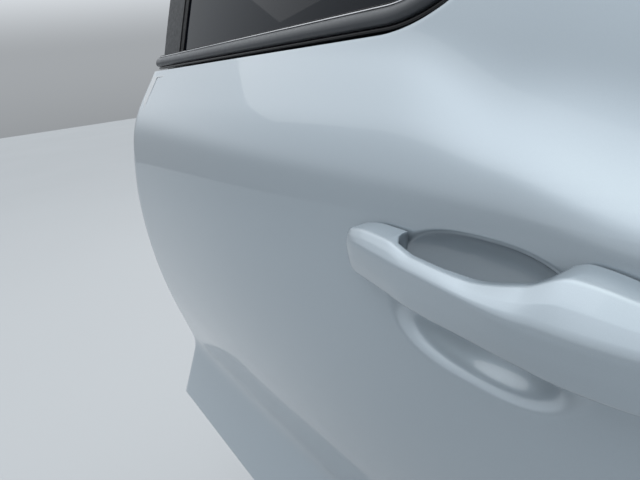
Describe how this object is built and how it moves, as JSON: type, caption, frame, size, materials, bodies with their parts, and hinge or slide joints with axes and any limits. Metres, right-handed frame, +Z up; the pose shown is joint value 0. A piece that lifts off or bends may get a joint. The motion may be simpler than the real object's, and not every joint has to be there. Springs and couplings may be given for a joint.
{
  "type": "car rear side door",
  "caption": "Complete rear side door of a compact crossover: skin, pull handle in its cup, window, hinges, check strap, lock and lined inside.",
  "frame": {"origin": "centre of the lower hinge's two bolts, on the rear face of the door pillar", "axes": "+X points to the rear of the vehicle, +Y inboard, +Z up; the door is shut at rest"},
  "size_m": [1.007, 0.3236, 1.0788],
  "materials": {
    "body_paint": "pale cool grey metallic under clear coat",
    "panel_paint": "body colour, thinner coat",
    "black_paint": "satin black",
    "rubber": "matt black",
    "sash_black": "semi-gloss black",
    "moulding_black": "satin black",
    "tinted_glass": "dark privacy tint",
    "trim_plastic": "grained charcoal",
    "soft_trim": "soft grained charcoal",
    "armrest_trim": "charcoal, sewn",
    "satin_metal": "satin",
    "gloss_trim": "gloss black",
    "zinc_steel": "zinc plated",
    "black_plastic": "fine grain black"
  },
  "bodies": {
    "root": {"lower_hinge_pillar_leaf": "panel_paint", "upper_hinge_pillar_leaf": "panel_paint", "lower_hinge_pin": "zinc_steel", "upper_hinge_pin": "zinc_steel", "check_bracket": "zinc_steel"},
    "door": {"outer_skin": "body_paint", "inner_panel": "panel_paint", "window_frame": "black_paint", "glass_run": "rubber", "front_sash_cover": "sash_black", "header_cover": "sash_black", "rear_sash_cover": "sash_black", "door_glass": "tinted_glass", "quarter_glass": "tinted_glass", "division_bar": "sash_black", "waist_moulding": "moulding_black", "inner_belt_seal": "rubber", "lower_hinge_door_leaf": "panel_paint", "upper_hinge_door_leaf": "panel_paint", "check_holder": "zinc_steel", "latch": "zinc_steel", "latch_fork": "zinc_steel", "handle_cap": "body_paint", "front_handle_gasket": "rubber", "rear_handle_gasket": "rubber", "handle_bracket": "black_plastic", "trim_panel": "trim_plastic", "trim_upper": "soft_trim", "armrest": "armrest_trim", "switch_plate": "gloss_trim", "window_switch": "black_plastic", "release_bezel": "trim_plastic", "speaker_grille": "trim_plastic", "map_pocket": "trim_plastic", "weatherstrip": "rubber"},
    "handle": {"handle_grip": "body_paint"},
    "check_arm": {"check_arm": "zinc_steel"},
    "release": {"inner_release": "satin_metal"}
  },
  "joints": [
    {"name": "door_swing", "type": "hinge", "parent": "root", "child": "door", "pos_m": [0.03, -0.028, 0.16], "axis": [0, 0, -1], "range_deg": [0, 68]},
    {"name": "outer_handle_pull", "type": "hinge", "parent": "door", "child": "handle", "pos_m": [0.672, -0.064, 0.29], "axis": [0, 0, -1], "range_deg": [0, 10], "stiffness_Nm_per_rad": 0.6},
    {"name": "inner_release_pull", "type": "hinge", "parent": "door", "child": "release", "pos_m": [0.237, 0.1063, 0.398], "axis": [0, 0, 1], "range_deg": [0, 32], "stiffness_Nm_per_rad": 0.3},
    {"name": "check_arm_swing", "type": "hinge", "parent": "root", "child": "check_arm", "pos_m": [0.02, 0.024, 0.16], "axis": [0, 0, -1], "range_deg": [0, 39.2]}
  ],
  "couplings": [
    {"joint": "check_arm_swing", "follows": "door_swing", "ratio": 0.575}
  ]
}
